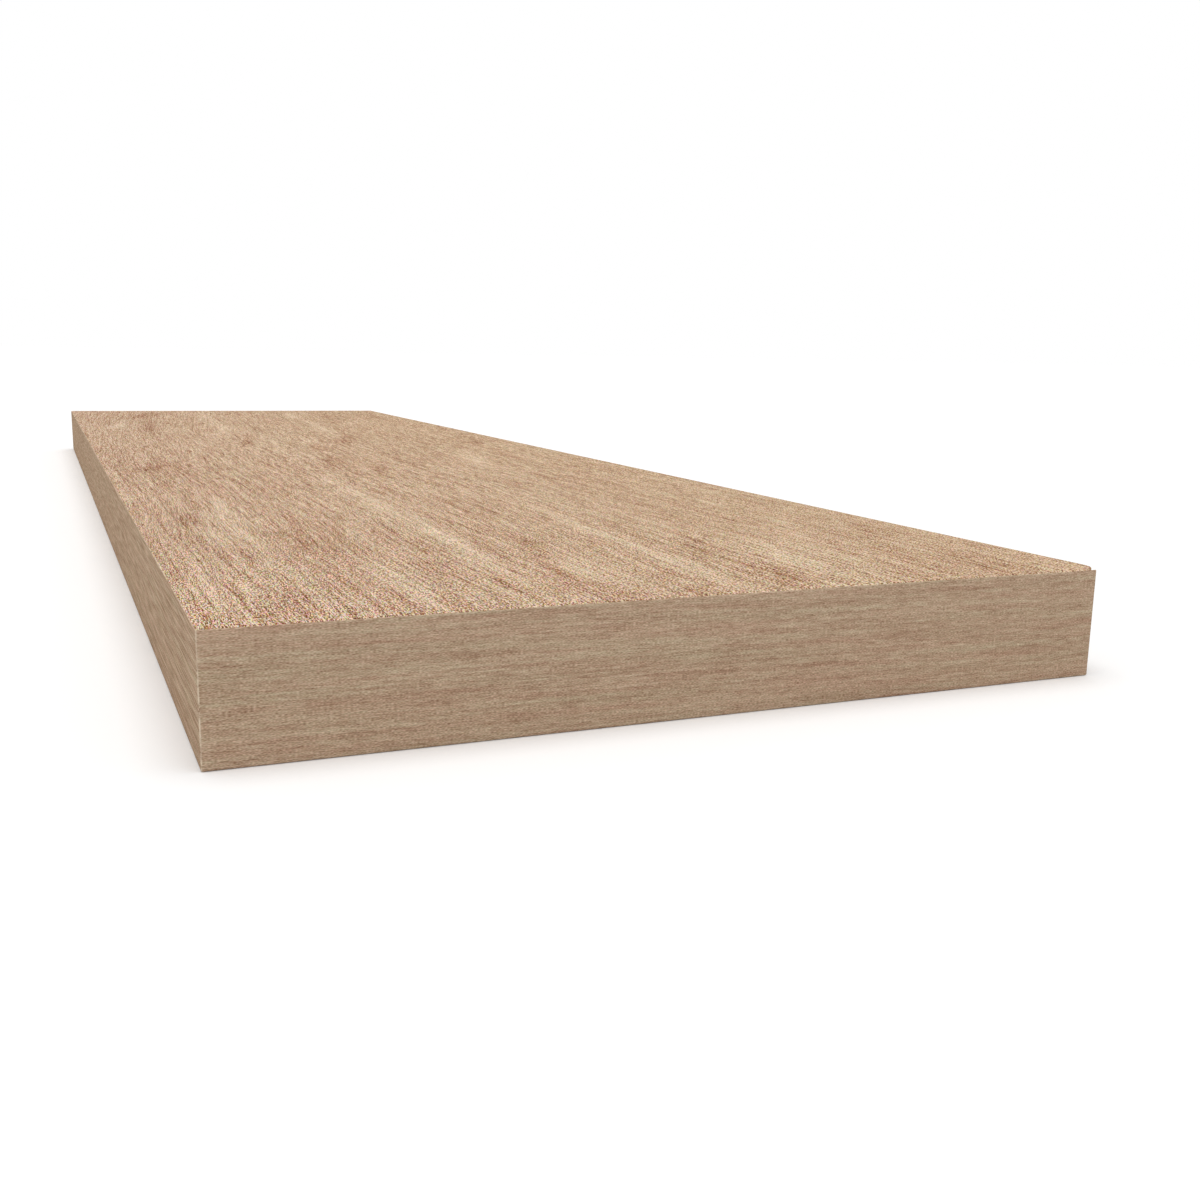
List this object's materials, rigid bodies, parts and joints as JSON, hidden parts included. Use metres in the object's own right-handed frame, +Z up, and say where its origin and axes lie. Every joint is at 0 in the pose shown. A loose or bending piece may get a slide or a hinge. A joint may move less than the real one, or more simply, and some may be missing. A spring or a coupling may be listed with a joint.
{
  "type": "retrofit stair tread",
  "caption": "Wooden retrofit stair tread: thin board with a square nosing mitred down its front edge and a matching return down its right end, made to cover an existing step.",
  "frame": {"origin": "on the floor, under the middle of the tread's bounding box", "axes": "+X along the tread to the returned end, -Y towards the nosing at the front, +Z up out of the walking surface"},
  "size_m": [1.0668, 0.3048, 0.0381],
  "materials": {
    "board_oak": "matte, plain-sawn grain along the tread",
    "edge_oak": "matte, straight fine grain along each piece"
  },
  "bodies": {
    "root": {"tread_board": "board_oak", "front_nosing": "edge_oak", "side_return": "edge_oak"}
  },
  "joints": []
}
